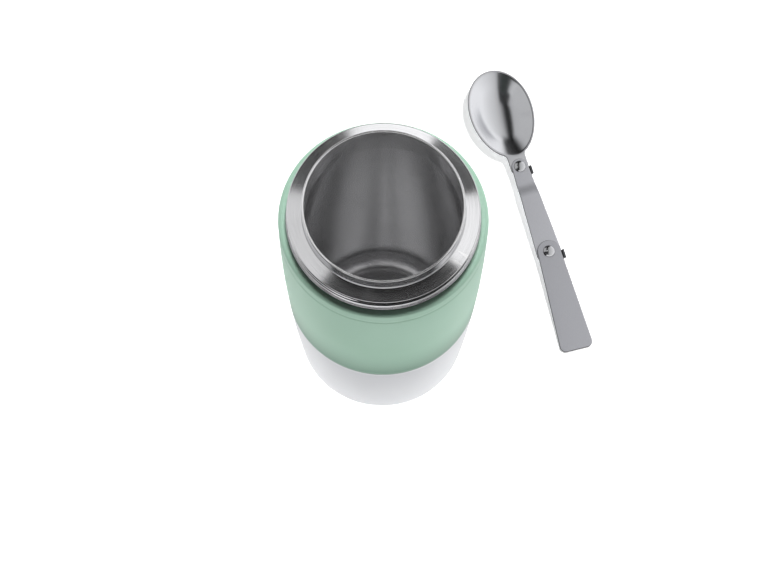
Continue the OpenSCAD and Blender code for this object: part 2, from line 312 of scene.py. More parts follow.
def in_spoon(x, y, n):
    """From the spoon's own frame to the jar's: origin plus x along, y across and n up the sheets' normal."""
    x, y, n = (value[..., None] for value in (x, y, n))
    return spoon_origin + x * spoon_along + y * spoon_side + n * spoon_up


def in_grip(x, y, n):
    """The same from the grip's frame, which is turned about its rivet by grip_turn."""
    turned_x = x * np.cos(grip_turn) - y * np.sin(grip_turn)
    turned_y = x * np.sin(grip_turn) + y * np.cos(grip_turn)
    return in_spoon(link_len + turned_x, turned_y, n)


def sheet_form(half, spine, top, bottom, rounding, rings, place):
    """Closed pressed sheet over a plan that is the same on both sides of its middle line.
    half is one side's outline, from the far end to the near end. Rings run from the middle line
    underneath, out to the edge, over its round, and back in on top: each ring is the outline drawn
    in along its normal, or a share of the way from the middle line spine(x) to it. The heights are
    top(x, y) and bottom(x, y)."""
    outline = np.vstack((half, half[-2:0:-1] * (1, -1)))
    along = np.roll(outline, -1, 0) - np.roll(outline, 1, 0)
    inward = np.column_stack((-along[:, 1], along[:, 0])) / np.linalg.norm(along, axis=1)[:, None]
    middle = np.column_stack((spine(outline[:, 0]), 0 * outline[:, 0]))
    inner = outline + inward * rounding
    share = np.sin(np.pi / 2 * np.linspace(0, 1, rings + 1))[:, None, None]
    flat = middle + (inner - middle) * share
    bend = np.radians(np.linspace(90, 0, 6))[1:, None, None]
    rim = outline + inward * rounding * (1 - np.cos(bend))
    sink = rounding * (1 - np.sin(bend[..., 0]))
    under = bottom(flat[..., 0], flat[..., 1])
    over = top(flat[..., 0], flat[..., 1])
    plan = np.concatenate((flat, rim, rim[::-1], flat[::-1]))
    height = np.concatenate((under, under[-1] + sink, (over[-1] - sink)[::-1], over[::-1]))
    points = place(plan[..., 0], plan[..., 1], height).reshape(-1, 3)
    # 1 on the edge's round, which the steel paints dark: painted shade
    cut = np.zeros(height.shape)
    cut[len(flat) + 1:len(height) - len(flat) - 1] = 1
    return points, grid_faces(len(height), len(outline), False), np.dstack((plan, cut)).reshape(-1, 3)


def hook_form(x0, base_y, inner_y, low_n, high_n):
    """Bent-up stop tab: a round-cornered strip, tab_len wide and tab_t thick, carried along a path that
    runs out from under the edge and turns up through a quarter circle. The end rings shrink to close it."""
    post_y = inner_y + tab_t / 2
    turn = np.radians(np.linspace(-90, 0, 9))
    curve = np.column_stack((post_y - tab_bend_r + tab_bend_r * np.cos(turn),
                             low_n + tab_bend_r + tab_bend_r * np.sin(turn)))
    close = np.radians(np.linspace(0, 90, 5))
    rise = np.column_stack((0 * close + post_y, high_n - tab_edge_r + tab_edge_r * np.sin(close)))
    path = np.vstack(([base_y, low_n], curve, rise, rise[-1:]))
    end_rings = len(rise) + 1
    forward = np.gradient(path, axis=0)
    forward[-end_rings:] = (0, 1)
    forward /= np.linalg.norm(forward, axis=1)[:, None]
    across = np.column_stack((forward[:, 1], -forward[:, 0]))
    w, t, r = tab_len / 2, tab_t / 2, tab_edge_r
    section = rounded([(w, t, r), (-w, t, r), (-w, -t, r), (w, -t, r)], 4)
    shrink = np.ones((len(path), 2))
    shrink[-end_rings:-1] = 1 - tab_edge_r * (1 - np.cos(close))[:, None] / (w, t)
    shrink[-1] = 0
    strip = section[None] * shrink[:, None]
    x = x0 + tab_len / 2 + strip[..., 0]
    y = path[:, :1] + across[:, :1] * strip[..., 1]
    n = path[:, 1:] + across[:, 1:] * strip[..., 1]
    # the whole tab is marked 1: the steel paints it dark, as painted shade
    plan = np.stack((x, y + n, 0 * x + 1), -1).reshape(-1, 3)
    return in_spoon(x, y, n).reshape(-1, 3), grid_faces(len(path), len(section), False), plan


def joined(*forms):
    """Several closed forms as one mesh."""
    points, faces, plans = zip(*forms)
    shift = np.cumsum([0] + [len(p) for p in points[:-1]])
    return np.vstack(points), np.vstack([f + s for f, s in zip(faces, shift)]), np.vstack(plans)


# ---- node groups ----
def set_inputs(node, inputs):
    """Sets sockets; inputs maps a socket's name or number to a value or to another node's output."""
    for key, value in dict(inputs).items():
        if isinstance(value, bpy.types.NodeSocket):
            node.id_data.links.new(value, node.inputs[key])
        else:
            node.inputs[key].default_value = value


def add_node(tree, kind, inputs=(), **settings):
    """A shader node with its settings and inputs."""
    made = tree.nodes.new(kind)
    for key, value in settings.items():
        setattr(made, key, value)
    set_inputs(made, inputs)
    return made


def maths(tree, operation, *values):
    return add_node(tree, "ShaderNodeMath", dict(enumerate(values)), operation=operation).outputs[0]


def times(tree, a, b):
    return maths(tree, "MULTIPLY", a, b)


def plus(tree, a, b):
    return maths(tree, "ADD", a, b)


def in_mm(tree, length):
    return maths(tree, "DIVIDE", length, MM)


def parts_of(tree, vector):
    """The three numbers of a vector."""
    return add_node(tree, "ShaderNodeSeparateXYZ", {0: vector}).outputs


def mapped(tree, value, low, high, to_low, to_high, shape="SMOOTHSTEP"):
    inputs = {"Value": value, "From Min": low, "From Max": high, "To Min": to_low, "To Max": to_high}
    return add_node(tree, "ShaderNodeMapRange", inputs, interpolation_type=shape).outputs["Result"]


def noise(tree, vector, scale, detail=3.0, roughness=0.5):
    inputs = {"Vector": vector, "Scale": scale, "Detail": detail, "Roughness": roughness}
    return add_node(tree, "ShaderNodeTexNoise", inputs).outputs["Fac"]


def new_group(name, inputs, outputs):
    """A node group that takes a Vector and the numbers in inputs, and puts out the numbers in outputs."""
    tree = bpy.data.node_groups.new(name, "ShaderNodeTree")
    tree.interface.new_socket(name="Vector", in_out="INPUT", socket_type="NodeSocketVector")
    for in_out, labels in (("INPUT", inputs), ("OUTPUT", outputs)):
        for label in labels:
            tree.interface.new_socket(name=label, in_out=in_out, socket_type="NodeSocketFloat")
    return tree, tree.nodes.new("NodeGroupInput").outputs, tree.nodes.new("NodeGroupOutput")


def brush_group():
    """Brushing: noise drawn out along the grain, from a vector that is (along, across, depth) in mm.
    Fine is the hair-thin lines, Broad the slower bands of the polishing wheel."""
    tree, given, out = new_group("brush_lines", ("Lines per mm", "Drawn out"), ("Fine", "Broad"))
    shrink = maths(tree, "DIVIDE", 1.0, given["Drawn out"])
    squeeze = add_node(tree, "ShaderNodeCombineXYZ", {"X": shrink, "Y": 1.0, "Z": 1.0}).outputs[0]
    drawn = add_node(tree, "ShaderNodeVectorMath", {0: given["Vector"], 1: squeeze},
                     operation="MULTIPLY").outputs[0]
    broad = times(tree, given["Lines per mm"], 0.09)
    set_inputs(out, {"Fine": noise(tree, drawn, given["Lines per mm"], 4.0, 0.65),
                     "Broad": noise(tree, drawn, broad, 2.0, 0.5)})
    return tree


def handling_group():
    """Light signs of use: Scuffs is thin scattered rubbing, Smudge is broad and soft."""
    tree, given, out = new_group("handling", (), ("Scuffs", "Smudge"))
    fine = mapped(tree, noise(tree, given["Vector"], 900.0, 5.0, 0.7), 0.6, 0.74, 0.0, 1.0)
    patch = mapped(tree, noise(tree, given["Vector"], 55.0, 2.0, 0.5), 0.45, 0.65, 0.0, 1.0)
    smudge = mapped(tree, noise(tree, given["Vector"], 26.0, 2.0, 0.45), 0.35, 0.7, 0.0, 1.0)
    set_inputs(out, {"Scuffs": times(tree, fine, patch), "Smudge": smudge})
    return tree


def edge_group():
    """Edges: Worn is 1 on outer edges and 0 on flats, broken up by noise; the second output is 1 in inner
    corners, the mask for painted shade there.
    """
    tree, given, out = new_group("edges", (), ("Worn", "Hollow"))
    bend = tree.nodes.new("ShaderNodeNewGeometry").outputs["Pointiness"]
    broken = mapped(tree, noise(tree, given["Vector"], 420.0, 3.0), 0.35, 0.65, 0.35, 1.0)
    set_inputs(out, {"Worn": times(tree, mapped(tree, bend, 0.505, 0.54, 0.0, 1.0), broken),
                     "Hollow": mapped(tree, bend, 0.495, 0.46, 0.0, 1.0)})
    return tree


brush_lines, handling, edges = brush_group(), handling_group(), edge_group()


def srgb(red, green, blue):
    """Screen values 0 to 255 as a linear colour."""
    shown = np.array((red, green, blue)) / 255
    linear = np.where(shown <= 0.04045, shown / 12.92, ((shown + 0.055) / 1.055) ** 2.4)
    return (*linear.tolist(), 1.0)


def use_group(tree, group, **inputs):
    """Places a group; an underscore in a keyword stands for the space in the socket's name."""
    named = {key.replace("_", " "): value for key, value in inputs.items()}
    return add_node(tree, "ShaderNodeGroup", named, node_tree=group).outputs


def new_material(name):
    """A material, with its node tree, its Principled shader and its object coordinates."""
    made = bpy.data.materials.new(name)
    made.use_nodes = True
    tree = made.node_tree
    shader = tree.nodes["Principled BSDF"]
    place = tree.nodes.new("ShaderNodeTexCoord").outputs["Object"]
    return made, tree, shader, place


def mixed(tree, share, first, second):
    """Colour that goes from first to second as share goes from 0 to 1."""
    return add_node(tree, "ShaderNodeMix", {0: share, 6: first, 7: second}, data_type="RGBA").outputs[2]


def set_bump(tree, shader, height, distance_mm, strength):
    bump = add_node(tree, "ShaderNodeBump",
                    {"Height": height, "Distance": distance_mm * MM, "Strength": strength})
    set_inputs(shader, {"Normal": bump.outputs["Normal"]})


def round_the_jar(tree, place):
    """Vector for turned brushing, in mm: along a circle of 40 mm, radius, height."""
    x, y, z = parts_of(tree, place)
    radius = maths(tree, "SQRT", plus(tree, times(tree, x, x), times(tree, y, y)))
    along = times(tree, maths(tree, "ARCTAN2", y, x), 40.0)
    return add_node(tree, "ShaderNodeCombineXYZ",
                    {"X": along, "Y": in_mm(tree, radius), "Z": in_mm(tree, z)}).outputs[0]


def seam_shade(tree, place, dark_z, light_z):
    """1 at the height dark_z, fading to 0 at light_z."""
    above = maths(tree, "SUBTRACT", in_mm(tree, parts_of(tree, place)[2]), light_z)
    share = maths(tree, "ABSOLUTE", maths(tree, "DIVIDE", above, light_z - dark_z))
    side = 1.0 if light_z > dark_z else -1.0
    inside = maths(tree, "LESS_THAN", times(tree, above, side), 0.0)
    return times(tree, maths(tree, "POWER", share, 1.6), inside)


def painted_dark_reflection(tree, colour):
    """The colour, but nearly black where a mirror sees it: a painted dark reflection."""
    share = times(tree, tree.nodes.new("ShaderNodeLightPath").outputs["Is Glossy Ray"], 0.98)
    return mixed(tree, share, colour, srgb(20, 20, 21))


# ---- materials ----
seam_fade = 34.0         # mm over which the shade beside the seam fades


def painted_coat():
    """Satin powder coat: fine orange peel, faint cloudiness, edges rubbed a little lighter, painted shade in
    inner corners, a soft painted shade towards the seam, and painted shade in the corner at the neck's foot.
    Mirrored in the steel it is painted nearly black: a painted dark reflection."""
    made, tree, shader, place = new_material("mint_powder_coat")
    masks = use_group(tree, handling, Vector=place)
    rim = use_group(tree, edges, Vector=place)
    cloudy = mixed(tree, masks["Smudge"], srgb(161, 196, 176), srgb(165, 199, 180))
    colour = mixed(tree, times(tree, rim["Worn"], 0.35), cloudy, srgb(190, 222, 204))
    # painted shade in inner corners
    colour = mixed(tree, times(tree, rim["Hollow"], 0.5), colour, srgb(128, 168, 146))
    colour = mixed(tree, seam_shade(tree, place, split_h, split_h + seam_fade), colour, srgb(117, 148, 131))
    # painted shade: the coat darkens in the corner beside the neck's foot bead
    radius = parts_of(tree, round_the_jar(tree, place))[1]
    corner_r = neck_r + bead_out
    corner = mapped(tree, radius, corner_r - 0.1, corner_r + 0.6, 0.4, 0.0)
    colour = mixed(tree, corner, colour, srgb(58, 74, 66))
    rough = plus(tree, mapped(tree, masks["Smudge"], 0.0, 1.0, 0.46, 0.52),
                 times(tree, masks["Scuffs"], -0.08))
    peel = noise(tree, place, 1500.0, 2.0, 0.5)
    grit = noise(tree, place, 6000.0, 1.0, 0.5)
    set_bump(tree, shader, plus(tree, peel, times(tree, grit, 0.35)), 0.035, 0.5)
    set_inputs(shader, {"Base Color": painted_dark_reflection(tree, colour), "Roughness": rough,
                        "Specular IOR Level": 0.22})
    return made


def moulded_cup():
    """Satin white plastic with a very fine spark-eroded grain, painted shade in inner corners and a faint
    painted shade towards the seam. Mirrored in the steel it is painted nearly black: a painted dark reflection.
    """
    made, tree, shader, place = new_material("white_moulding")
    masks = use_group(tree, handling, Vector=place)
    rim = use_group(tree, edges, Vector=place)
    colour = mixed(tree, masks["Smudge"], srgb(202, 203, 206), srgb(205, 206, 209))
    # painted shade in inner corners
    colour = mixed(tree, times(tree, rim["Hollow"], 0.4), colour, srgb(188, 190, 192))
    colour = mixed(tree, seam_shade(tree, place, split_h, split_h - seam_fade), colour, srgb(197, 198, 202))
    rough = plus(tree, mapped(tree, masks["Smudge"], 0.0, 1.0, 0.36, 0.42),
                 times(tree, masks["Scuffs"], 0.1))
    set_bump(tree, shader, noise(tree, place, 3800.0, 2.0, 0.6), 0.02, 0.4)
    set_inputs(shader, {"Base Color": painted_dark_reflection(tree, colour), "Roughness": rough,
                        "Specular IOR Level": 0.25})
    return made


def steel(name, tint, rough, vector_of, lines, drawn, groove_mm, spread, tangent=None, aniso=0.0, metallic=1.0):
    """Brushed steel. The fine lines set the bump and the colour a little, the broad ones the roughness
    between its two values. With a tangent, the highlight is drawn out across the grain. Points that the mesh
    marks on cut edges, stop tabs and rivet feet are painted dark: painted shade."""
    made, tree, shader, place = new_material(name)
    grain = use_group(tree, brush_lines, Vector=vector_of(tree, place), Lines_per_mm=lines, Drawn_out=drawn)
    masks = use_group(tree, handling, Vector=place)
    rim = use_group(tree, edges, Vector=place)
    light, dark = srgb(*tint), srgb(*(v * (1 - spread) for v in tint))
    colour = mixed(tree, mapped(tree, grain["Fine"], 0.3, 0.7, 0.0, 1.0), dark, light)
    polished = srgb(*(min(255, v * 1.1) for v in tint))
    colour = mixed(tree, times(tree, rim["Worn"], 0.5), colour, polished)
    # painted shade: points marked 1 by the mesh (cut edges, stop tabs, rivet feet) darken
    cut = add_node(tree, "ShaderNodeAttribute", attribute_name="cut_edge").outputs["Fac"]
    colour = mixed(tree, times(tree, cut, 0.85), colour, srgb(44, 45, 48))
    rough = mapped(tree, grain["Broad"], 0.3, 0.7, *rough)
    rough = plus(tree, rough, times(tree, masks["Scuffs"], 0.08))
    rough = plus(tree, rough, times(tree, masks["Smudge"], 0.03))
    set_inputs(shader, {"Base Color": colour, "Roughness": rough, "Metallic": metallic})
    if tangent:
        quarter_turn = 0.25
        where = {"axis": "Z"} if tangent == "RADIAL" else {"uv_map": "plan"}
        way = add_node(tree, "ShaderNodeTangent", direction_type=tangent, **where).outputs[0]
        set_inputs(shader, {"Anisotropic": aniso, "Anisotropic Rotation": quarter_turn, "Tangent": way})
    set_bump(tree, shader, grain["Fine"], groove_mm, 0.6)
    return made


def along_the_sheet(tree, place):
    """Vector for straight brushing, in mm, from the piece's own plan."""
    return add_node(tree, "ShaderNodeUVMap", uv_map="plan").outputs[0]


def plain(name, tint, rough, metallic, bump_scale, bump_mm):
    """Parts out of sight: mottled colour and a fine bump."""
    made, tree, shader, place = new_material(name)
    masks = use_group(tree, handling, Vector=place)
    colour = mixed(tree, masks["Smudge"], srgb(*tint), srgb(*(v * 0.9 for v in tint)))
    rough = mapped(tree, masks["Smudge"], 0.0, 1.0, rough, rough + 0.08)
    set_inputs(shader, {"Base Color": colour, "Roughness": rough, "Metallic": metallic})
    set_bump(tree, shader, noise(tree, place, bump_scale, 3.0), bump_mm, 0.6)
    return made


mint_coat = painted_coat()
white_cup = moulded_cup()
neck_steel = steel("brushed_neck_steel", (236, 236, 238), (0.12, 0.14), round_the_jar, lines=6.0, drawn=90.0,
                   groove_mm=0.001, spread=0.06, tangent="RADIAL", aniso=0.9)
liner_steel = steel("drawn_liner_steel", (236, 236, 237), (0.2, 0.22), round_the_jar, lines=5.0, drawn=90.0,
                    groove_mm=0.002, spread=0.04, tangent="RADIAL", aniso=0.6, metallic=0.86)
spoon_steel = steel("satin_spoon_steel", (232, 233, 239), (0.36, 0.38), along_the_sheet, lines=14.0, drawn=25.0,
                    groove_mm=0.002, spread=0.04, tangent="UV_MAP", aniso=0.3)
# the link's satin steel painted darker for the grip: painted shade
grip_steel_painted_shade = steel("satin_grip_steel", (212, 213, 219), (0.36, 0.38), along_the_sheet, lines=14.0, drawn=25.0,
                   groove_mm=0.002, spread=0.04, tangent="UV_MAP", aniso=0.3)
bowl_steel = steel("polished_bowl_steel", (234, 235, 239), (0.16, 0.18), along_the_sheet, lines=10.0,
                   drawn=12.0, groove_mm=0.001, spread=0.03)
# the rivets aren't brushed: their grain reads object coordinates, so its lines are counted per metre
rivet_steel = steel("polished_rivet_steel", (212, 213, 216), (0.16, 0.19), lambda tree, place: place,
                    lines=9000.0, drawn=1.0, groove_mm=0.002, spread=0.03)
pad_silicone = plain("base_silicone", (203, 206, 209), rough=0.62, metallic=0.0, bump_scale=2600.0, bump_mm=0.03)

# inside the jar's wall: node, and its material's name, tint, roughness, metallic, bump scale and depth
for node_name, *finish in (("heat_foil", "copper_foil", (216, 160, 118), 0.22, 1.0, 900.0, 0.06),
                           ("vacuum_bottom", "mill_steel", (176, 178, 181), 0.34, 1.0, 1800.0, 0.02),
                           ("vacuum_seal", "solder", (160, 162, 165), 0.48, 1.0, 1200.0, 0.05),
                           ("getter", "getter_metal", (112, 114, 117), 0.6, 1.0, 3200.0, 0.05)):
    slots = frame["nodes"][node_name].data.materials
    slots.clear()
    slots.append(plain(*finish))


# ---- jar ----
def shell_outline():
    """Shell: neck edge, ledge, shoulder, side wall with its groove, step in, and the run down inside the cup.
    The groove is a Gaussian: depth times exp(-((z - crease_z) / crease_w)^2), taken off the wall's radius."""
    shoulder = arc(wall_radius(shoulder_z) - shoulder_r, shoulder_z, shoulder_r, 90, 0, 24)
    low, high = crease_z - crease_reach, crease_z + crease_reach
    side = np.vstack((wall(high, shoulder_z, 0, 6)[::-1], wall(low, high, 0, 52)[-2::-1],
                      wall(split_h + seam_gap + seam_r, low, 0)[-2::-1]))
    side[:, 0] -= crease_depth * np.exp(-((side[:, 1] - crease_z) / crease_w) ** 2)
    seam = arc(wall_radius(split_h) - seam_r, split_h + seam_gap + seam_r, seam_r, 0, -90, 5)
    inner_top = split_h + shell_t + shell_inset
    return without_repeats(np.vstack((
        [[neck_r - neck_t, shoulder_h]], shoulder, side, seam,
        wall(shell_low_z, split_h + seam_gap, shell_inset)[::-1],
        wall(shell_low_z, split_h + shell_t, shell_inset + shell_t),
        wall(inner_top, shoulder_z, shell_t),
        arc(wall_radius(shoulder_z) - shoulder_r, shoulder_z, shoulder_r - shell_t, 0, 90, 12),
        [[neck_r - neck_t, shoulder_h - shell_t]])))


def cup_outline():
    """Cup, from axis to axis: seat of the pad, foot, side wall, rounded top edge, inside wall and floor."""
    foot_x = base_r - foot_r
    seat_r, top_r = 0.4, 0.2
    return np.vstack((
        [[0, pad_top_z], [pad_r, pad_top_z]],
        arc(pad_r + seat_r, pad_drop + seat_r, seat_r, 180, 270, 6),
        arc(foot_x, foot_z, foot_r, -90, 0, 24),
        wall(foot_z, split_h - seam_r, 0)[1:],
        arc(wall_radius(split_h) - seam_r, split_h - seam_r, seam_r, 0, 90, 5),
        arc(wall_radius(split_h) - cup_t + top_r, split_h - top_r, top_r, 90, 180, 3),
        wall(shell_low_z, split_h - top_r, cup_t)[::-1],
        arc(foot_x, shell_low_z, foot_r - cup_t, 0, -90, 12),
        [[0, pad_drop + cup_floor_t]]))


def pad_outline():
    """Pad: a disc with a round edge and three shallow grip grooves in its underside. Each groove is a
    Gaussian: depth times exp(-((r - its radius) / width)^2)."""
    corner_r, depth, width = 0.6, 0.28, 0.45
    r = np.linspace(0, pad_r - corner_r, 160)
    rings = sum(np.exp(-((r - at) / width) ** 2) for at in (14.0, 20.5, 27.0))
    corner = arc(pad_r - corner_r, corner_r, corner_r, -90, 0, 8)[1:]
    return np.vstack((np.column_stack((r, depth * rings)), corner, [[pad_r, pad_top_z], [0, pad_top_z]]))


def neck_outline():
    """Neck, mouth ring and lip: closed outline of one sheet, with a bead at the foot and at the ring's edge.
    The outside is finely divided for the thread, and stops short of both beads."""
    bead = arc(neck_r + bead_out - bead_r, shoulder_h + bead_r - bead_sink, bead_r, -60, 150, 16)
    heights = np.linspace(bead[-1, 1] + bead_clear, neck_z - 2 * rim_bead_r - rim_bead_clear, thread_rows)
    outside = np.vstack((bead, np.column_stack((np.full(thread_rows, neck_r), heights))))
    edge = arc(neck_r + rim_bead_out - rim_bead_r, neck_z - rim_bead_r, rim_bead_r, -75, 84, 16)
    slope = np.degrees(np.arctan2(ring_rise, neck_r - neck_edge_r - lip_r))
    crease = arc(lip_r + lip_crease_r, ring_z + lip_crease_r - lip_crease_sink, lip_crease_r,
                 270 - slope, 180, 8)
    lip = arc(liner_r, lip_z - neck_t, neck_t, 0, 90, 10)
    inside = [[liner_r, ring_z - neck_t], [neck_r - neck_edge_r, neck_z - neck_t],
              [neck_r - neck_t, neck_z - neck_edge_r], [neck_r - neck_t, shoulder_h]]
    return without_repeats(np.vstack((outside, edge, crease, lip, inside)))


def thread(angle, r, z):
    """Helix on the neck: its crest climbs one pitch a turn from thread_start, as a squared cosine ridge.
    It fades in and out over thread_fade at its two ends, and only the neck's plain wall carries it."""
    turn = (np.degrees(angle) - thread_start) % 360 / 360
    ridge = 0 * angle * z
    turns = (thread_top_z - thread_low_z) / thread_pitch
    for lap in range(int(turns) + 2):
        wound = turn + lap
        fade = ease(wound * 360 / thread_fade) * ease((turns - wound) * 360 / thread_fade)
        away = np.clip((z - thread_low_z - wound * thread_pitch) / thread_half_w, -1, 1)
        ridge = np.maximum(ridge, thread_h * fade * np.cos(np.pi / 2 * away) ** 2)
    return np.where((abs(r - neck_r) < NEAR) & (z > bead_top), ridge, 0)


def liner_outline():
    """Liner: outside from the axis up to the lip, over it, and back down the food side to the axis."""
    out = vacuum_gap + shell_t
    corner_r = wall_radius(liner_low_z) - out - liner_corner_r
    belly_r = wall_radius(belly_z) - out
    return np.vstack((
        [[0, liner_floor_z]],
        arc(corner_r, liner_low_z, liner_corner_r, -90, 0, 16),
        wall(liner_low_z, belly_z, out)[1:],
        swell(belly_r, belly_z, liner_r, shoulder_h)[1:],
        arc(liner_r, lip_z - liner_t, liner_t, 90, 180, 10),
        swell(belly_r - liner_t, belly_z, mouth_r, shoulder_h)[::-1],
        wall(liner_low_z, belly_z, out + liner_t)[-2::-1],
        arc(corner_r, liner_low_z, liner_corner_r - liner_t, 0, -90, 24)[1:],
        np.column_stack((np.linspace(corner_r, 0, 20)[1:], np.full(19, liner_floor_z + liner_t)))))


jar_pieces = [
    turn_piece("shell_mint", shell_outline(), mint_coat, "outer_shell"),
    turn_piece("cup_white", cup_outline(), white_cup, "base_cup", closed=False),
    turn_piece("pad_grip", pad_outline(), pad_silicone, "base_pad", closed=False, turns=160),
    turn_piece("neck_threaded", neck_outline(), neck_steel, "neck_ring", turns=320, lift=thread),
    turn_piece("liner_drawn", liner_outline(), liner_steel, "inner_liner", closed=False)]


# ---- spoon ----
def side_distance(r0, r1, length, x):
    """Distance from the middle line at x to a straight side that touches circles r0 at 0 and r1 at length."""
    return (r0 + x * (r1 - r0) / length) / np.cos(np.arcsin((r1 - r0) / length))


def bowl_rise(out):
    """Section of the bowl: r - sqrt(r^2 - out^2) in its round middle, then a straight flank."""
    turn_out = bowl_round_r * np.sin(bowl_flank)
    middle_rise = bowl_round_r - np.sqrt(np.maximum(bowl_round_r ** 2 - np.minimum(out, turn_out) ** 2, 0))
    return middle_rise + np.maximum(out - turn_out, 0) * np.tan(bowl_flank)


def bowl_form_n(x, y, half_len, half_w):
    """Height of the bowl: its section, stretched over ovals that are fuller towards the tip. An oval is
    y^2 = half_w^2 (1 - share^2) (1 - egg share)^2, and out is half_w at the rim and 0 in the middle."""
    share = (x - bowl_mid) / half_len
    inside = (1 - share ** 2) * (1 - bowl_egg * share) ** 2 - (y / half_w) ** 2
    out = half_w * np.sqrt(np.maximum(1 - inside / (1 + bowl_egg ** 2), 0))
    return rim_n + bowl_rise(out) - bowl_rise(half_w)


def lower_of(a, b, blend):
    """The smaller of two heights, with the corner between them rounded."""
    return (a + b - np.sqrt((a - b) ** 2 + blend ** 2)) / 2


def bowl_half():
    """One side of the bowl's plan: round tang end, straight side, hollow arc, oval to the tip."""
    a, b = bowl_len / 2, bowl_w / 2
    end_r = (b * (1 - bowl_egg)) ** 2 / a
    arc_y = tang_r + tang_flare_r
    arc_x = -tang_neck_len - end_r + np.sqrt((end_r + tang_flare_r) ** 2 - arc_y ** 2)
    touch = np.degrees(np.arcsin(arc_y / (end_r + tang_flare_r)))
    flare = arc(arc_x, arc_y, tang_flare_r, -90, touch - 180, 12)
    start = np.arccos((flare[-1, 0] - oval_gap - bowl_mid) / a)
    u = np.linspace(start, np.pi, 96)
    oval = np.column_stack((bowl_mid + a * np.cos(u), b * np.sin(u) * (1 - bowl_egg * np.cos(u))))
    straight = np.column_stack((np.linspace(0, arc_x, 6)[1:-1], np.full(4, tang_r)))
    return np.vstack((arc(0, 0, tang_r, 0, 90, 16), straight, flare, oval))


def bowl_plane(x):
    """The sheet's top outside the hollow: the rim's height, rising to the tang's."""
    return rim_n + (sheet_t - rim_n) * ease((x + tang_neck_len + rise_in_top) / tang_rise_w)


def bowl_top(x, y):
    """The lower of that plane and the hollow, whose oval is smaller by the rim's width."""
    hollow = bowl_form_n(x, y, bowl_len / 2 - bowl_rim_t, bowl_w / 2 - bowl_rim_t)
    return lower_of(bowl_plane(x), hollow, rim_blend)


def bowl_bottom(x, y):
    """The lower of the rim's underside, which falls to 0 under the tang, and the outer form."""
    base = (rim_n - rim_t) * (1 - ease((x + tang_neck_len + rise_in_under) / tang_rise_w))
    return lower_of(base, bowl_form_n(x, y, bowl_len / 2, bowl_w / 2) + under_rise, under_blend)


def link_low(x):
    """The link's underside: level, up the joggle along half a cosine wave, and level again."""
    return head_n + (link_n - head_n) * ease((x - joggle_at) / joggle_len)


def link_half():
    """One side of the link's plan, from its tail to its head."""
    lean = np.degrees(np.arcsin((link_tail_r - link_head_r) / link_len))
    tail = arc(link_len, 0, link_tail_r, 0, 90 + lean, 20)
    head = arc(0, 0, link_head_r, 90 + lean, 180, 16)
    steps = np.linspace(0, 1, 150)[1:-1, None]
    return np.vstack((tail, tail[-1] + (head[0] - tail[-1]) * steps, head))


def grip_half():
    """One side of the grip's plan, from its far end to its head."""
    reach = np.hypot(grip_end_x, grip_end_y)
    lean = np.degrees(np.arctan2(grip_end_y, grip_end_x) + np.arccos((grip_head_r - grip_corner_r) / reach))
    end = np.column_stack((np.full(8, grip_len), np.linspace(0, grip_end_y, 8)))[:-1]
    corner = arc(grip_end_x, grip_end_y, grip_corner_r, 0, lean, 14)
    head = arc(0, 0, grip_head_r, lean, 180, 18)
    steps = np.linspace(0, 1, 60)[1:-1, None]
    return np.vstack((end, corner, corner[-1] + (head[0] - corner[-1]) * steps, head))


def rivet_form(at_x, low_n, high_n):
    """Rivet turned about the sheets' normal: flat closed end below, shank, and a domed head, whose foot is
    painted dark where it meets the sheet: painted contact shade."""
    tail_edge_r, head_foot_w = 0.2, 0.06
    shade_from_r, shade_w = 2.8, 0.25
    first_step = 1.2     # degrees between the foot and the dome's first point
    dome_r = (rivet_head_r ** 2 + rivet_head_h ** 2) / (2 * rivet_head_h)
    dome_start = np.degrees(np.arcsin((dome_r - rivet_head_h) / dome_r))
    outline = np.vstack((
        [[0, low_n - rivet_tail_h]],
        arc(rivet_tail_r - tail_edge_r, low_n - rivet_tail_h + tail_edge_r, tail_edge_r, -90, 0, 5),
        [[rivet_tail_r, low_n], [rivet_shank_r, low_n], [rivet_shank_r, high_n],
         [rivet_head_r - head_foot_w, high_n]],
        arc(0, high_n + rivet_head_h - dome_r, dome_r, dome_start + first_step, 90, 24)))
    turns = 72
    points = turned_points(outline, turns)
    faces = grid_faces(len(outline), turns, False)
    x, y, n = points.T
    # painted contact shade round the head's foot
    foot = np.where(n > high_n - NEAR, np.clip((np.hypot(x, y) - shade_from_r) / shade_w, 0, 1), 0)
    return in_spoon(x + at_x, y, n), faces, np.column_stack((x, y, foot))


tab_y = side_distance(link_head_r, link_tail_r, link_len, tab_at + tab_len) + stop_gap
grip_tab_y = side_distance(grip_head_r, grip_end_w / 2, grip_end_x, tab_at + tab_len) + stop_gap

bowl = joined(
    sheet_form(bowl_half(), lambda x: np.clip(x, bowl_mid - bowl_spine * bowl_len / 2, 0),
               bowl_top, bowl_bottom, rim_edge_r, 34, in_spoon),
    hook_form(tab_at, tab_root_y, tab_y, sheet_t / 2, head_n + sheet_t))
link = joined(
    sheet_form(link_half(), lambda x: np.clip(x, 0, link_len), lambda x, y: link_low(x) + sheet_t,
               lambda x, y: link_low(x), edge_r, 8, in_spoon),
    hook_form(link_len + tab_at, tab_root_y, grip_tab_y, link_n + sheet_t / 2, grip_n + sheet_t))
grip = sheet_form(grip_half(), lambda x: np.clip(x, 0, grip_end_x - grip_end_y),
                  lambda x, y: 0 * x + grip_n + sheet_t, lambda x, y: 0 * x + grip_n, edge_r, 6, in_grip)

bowl_rivet = rivet_form(0, -leaf_gap, head_n + sheet_t)
grip_rivet = rivet_form(link_len, link_n, grip_n + sheet_t + leaf_gap)

